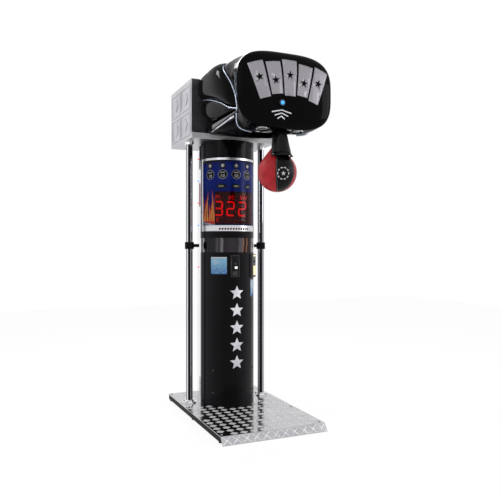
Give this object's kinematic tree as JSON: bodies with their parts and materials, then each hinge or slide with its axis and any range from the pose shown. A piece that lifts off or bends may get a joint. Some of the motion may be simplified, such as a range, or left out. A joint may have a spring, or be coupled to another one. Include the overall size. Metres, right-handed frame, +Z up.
{
  "type": "boxing arcade machine",
  "caption": "Boxing arcade machine: a giant glove over a tread plate holds a swinging punch ball, beside poles and a round cabinet with score display.",
  "frame": {"origin": "on the cabinet's vertical axis, at the level of the floor", "axes": "+Z up, the front with the ball faces -Y, +X to the viewer's right"},
  "size_m": [0.65, 1.238, 2.1886],
  "materials": {
    "tread_plate": "raised tread, rolled",
    "black_steel": "gloss black paint",
    "dark_steel": "satin dark paint",
    "rubber_black": "matt",
    "fastener": "zinc plated",
    "chrome": "polished",
    "trim_silver": "brushed",
    "mirror_dark": "mirror gloss",
    "panel_blue": "printed panel behind clear gloss",
    "lens_red": "dark red lens",
    "circuit": "board with modules",
    "lit_red": "lit segments",
    "lit_blue": "lit lens",
    "lit_yellow": "lit window",
    "label_pale": "printed plate",
    "black_plastic": "moulded",
    "star_silver": "cut foil",
    "zinc_box": "folded zinc sheet",
    "glove_black": "gloss lacquered shell",
    "lamp_lens": "rimmed lamp",
    "rocker_red": "moulded",
    "ball_red": "grained leather",
    "ball_black": "smooth leather",
    "brass_latch": "machined"
  },
  "bodies": {
    "frame": {"base_plate": "tread_plate", "base_frame": "black_steel", "rubber_feet": "rubber_black", "plate_screws": "fastener", "cabinet_shell": "black_steel", "core_sleeve": "black_steel", "mirror_band": "mirror_dark", "lower_ring": "black_steel", "display_panel": "panel_blue", "panel_frame": "trim_silver", "display_lens": "lens_red", "display_board": "circuit", "lit_segments": "lit_red", "top_band": "black_steel", "edge_strips": "chrome", "red_lights": "lit_red", "blue_lights": "lit_blue", "price_plate": "label_pale", "coin_plate": "black_plastic", "coin_mech": "dark_steel", "cash_box": "zinc_box", "note_reader": "black_plastic", "reader_lights": "lit_yellow", "front_stars": "star_silver", "cabinet_screws": "fastener", "door_hinges": "fastener", "main_board": "circuit", "power_supply": "zinc_box", "mains_inlet": "black_plastic", "poles": "chrome", "pole_flanges": "chrome", "flange_bolts": "fastener", "pole_ties": "black_steel", "head_frame": "trim_silver", "head_side_left": "trim_silver", "head_side_right": "trim_silver", "head_front": "dark_steel", "head_rear": "dark_steel", "head_top": "trim_silver", "bottom_trim": "chrome", "glove_shell": "glove_black", "glove_cowling": "glove_black", "fist_lamps": "lamp_lens", "start_bezel": "chrome", "arm_bracket": "dark_steel", "strike_sensor": "black_plastic", "solenoid": "zinc_box", "loudspeaker": "black_plastic"},
    "ball_arm": {"swing_arm": "fastener", "punch_ball": "ball_red", "ball_panel": "ball_black", "ball_skirt": "rubber_black"},
    "start_button": {"start_button": "lit_blue"},
    "coin_return_button": {"coin_return_button": "chrome"},
    "coin_return_flap": {"coin_return_flap": "black_plastic"},
    "service_door": {"service_door": "black_steel"},
    "door_lock": {"door_lock": "chrome"},
    "mains_switch": {"mains_switch": "rocker_red"},
    "latch": {"latch": "brass_latch"},
    "plunger": {"plunger": "fastener"}
  },
  "joints": [
    {"name": "ball_swing", "type": "hinge", "parent": "frame", "child": "ball_arm", "pos_m": [0, -0.77, 1.79], "axis": [1, 0, 0], "range_deg": [0, 95]},
    {"name": "start_press", "type": "slide", "parent": "frame", "child": "start_button", "axis": [0, 1, 0], "range_m": [0, 0.003], "stiffness_N_per_m": 600, "springref_m": -0.001},
    {"name": "coin_return_press", "type": "slide", "parent": "frame", "child": "coin_return_button", "axis": [0.0698, 0.9976, 0], "range_m": [0, 0.004], "stiffness_N_per_m": 400, "springref_m": -0.001},
    {"name": "coin_flap_swing", "type": "hinge", "parent": "frame", "child": "coin_return_flap", "pos_m": [-0.0128, -0.18305, 0.913], "axis": [0.9976, -0.0698, 0], "range_deg": [0, 60]},
    {"name": "service_door_swing", "type": "hinge", "parent": "frame", "child": "service_door", "pos_m": [-0.14189, 0.12334, 0.525], "axis": [0, 0, 1], "range_deg": [0, 110]},
    {"name": "door_lock_turn", "type": "hinge", "parent": "service_door", "child": "door_lock", "pos_m": [0.1157, 0.13789, 0.525], "axis": [0.6428, 0.766, 0], "range_deg": [0, 90]},
    {"name": "mains_rocker", "type": "hinge", "parent": "frame", "child": "mains_switch", "pos_m": [-0.022, 0.185, 0.095], "axis": [-1, 0, 0], "range_deg": [0, 16]},
    {"name": "latch_turn", "type": "hinge", "parent": "frame", "child": "latch", "pos_m": [0.061, -0.68804, 1.81196], "axis": [1, 0, 0], "range_deg": [0, 40]},
    {"name": "plunger_slide", "type": "slide", "parent": "frame", "child": "plunger", "axis": [0, 0, 1], "range_m": [-0.01339, 0]}
  ],
  "couplings": [
    {"joint": "plunger_slide", "follows": "latch_turn", "m_per_rad": -0.018894}
  ]
}
